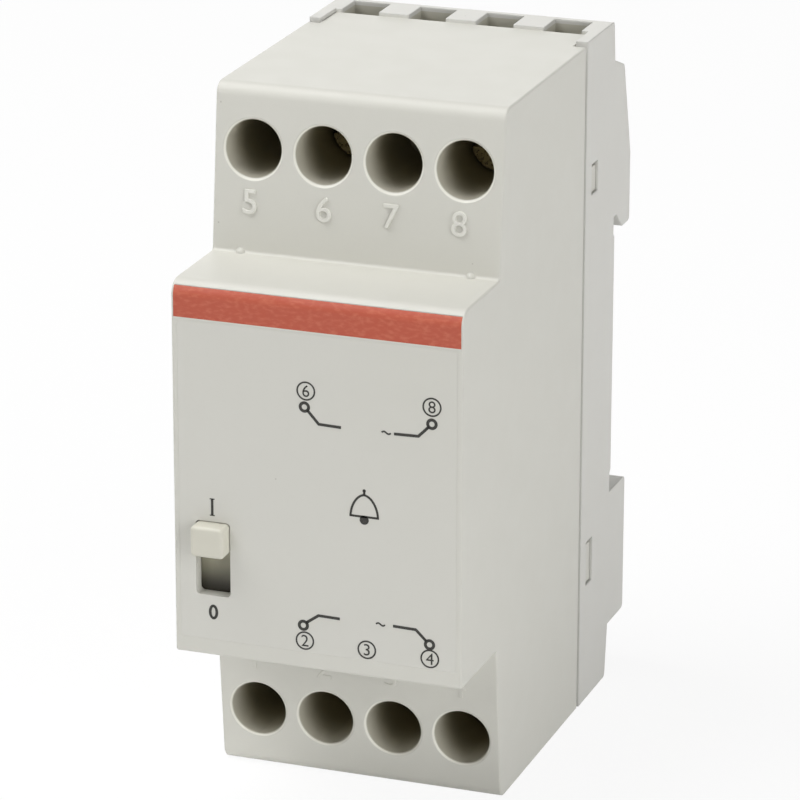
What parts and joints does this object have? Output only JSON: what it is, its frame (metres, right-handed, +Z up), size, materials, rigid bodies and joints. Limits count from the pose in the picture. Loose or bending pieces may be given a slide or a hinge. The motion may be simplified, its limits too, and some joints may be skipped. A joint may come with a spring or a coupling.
{
  "type": "doorbell transformer",
  "caption": "Modular bell transformer for a top-hat rail: grey stepped housing with a slide switch, screw terminals, rail hook and sprung rail clip.",
  "frame": {"origin": "middle of the face that seats on the rail, midway between the sides", "axes": "+X to the right seen from the front, +Y back towards the rail and the wall, +Z up"},
  "size_m": [0.035, 0.0638, 0.0844],
  "materials": {
    "housing_plastic": "light warm grey moulded plastic, fine satin",
    "plate_print": "printed plate, satin",
    "red_plastic": "plain brick red strip, satin",
    "knob_plastic": "cream moulded plastic, satin",
    "dark_plastic": "dark insulating moulding",
    "plated_steel": "zinc plated steel",
    "brass": "bare brass strip",
    "core_steel": "stacked silicon steel laminations, varnished",
    "copper_wire": "enamelled copper wire",
    "yellow_tape": "polyester tape",
    "lead_sleeve": "insulated wire",
    "spring_steel": "spring wire"
  },
  "bodies": {
    "housing": {"front_casing": "housing_plastic", "rear_base": "housing_plastic", "label_plate": "plate_print", "red_band": "red_plastic", "switch_contact_in": "brass", "switch_contact_out": "brass", "switch_carrier": "dark_plastic", "core_e_stack": "core_steel", "core_i_stack": "core_steel", "bobbin": "dark_plastic", "primary_winding": "copper_wire", "secondary_winding": "copper_wire", "primary_tape": "yellow_tape", "secondary_tape": "yellow_tape", "thermal_cutout": "dark_plastic", "clip_spring": "spring_steel", "terminal_screws": "plated_steel", "terminal_bar_6": "brass", "terminal_cage_6": "plated_steel", "terminal_bar_8": "brass", "terminal_cage_8": "plated_steel", "terminal_bar_2": "brass", "terminal_cage_2": "plated_steel", "terminal_bar_3": "brass", "terminal_cage_3": "plated_steel", "terminal_bar_4": "brass", "terminal_cage_4": "plated_steel", "lead_6": "lead_sleeve", "lead_switch": "lead_sleeve", "lead_8": "lead_sleeve", "lead_2": "lead_sleeve", "lead_3": "lead_sleeve", "lead_4": "lead_sleeve"},
    "slider": {"switch_knob": "knob_plastic", "contact_bridge": "brass"},
    "clip": {"rail_clip": "dark_plastic"}
  },
  "joints": [
    {"name": "switch_slide", "type": "slide", "parent": "housing", "child": "slider", "axis": [0, 0, 1], "range_m": [-0.0052, 0]},
    {"name": "clip_slide", "type": "slide", "parent": "housing", "child": "clip", "axis": [0, 0, -1], "range_m": [0, 0.003], "stiffness_N_per_m": 1500, "springref_m": -0.002, "deforming": ["clip_spring"]}
  ]
}
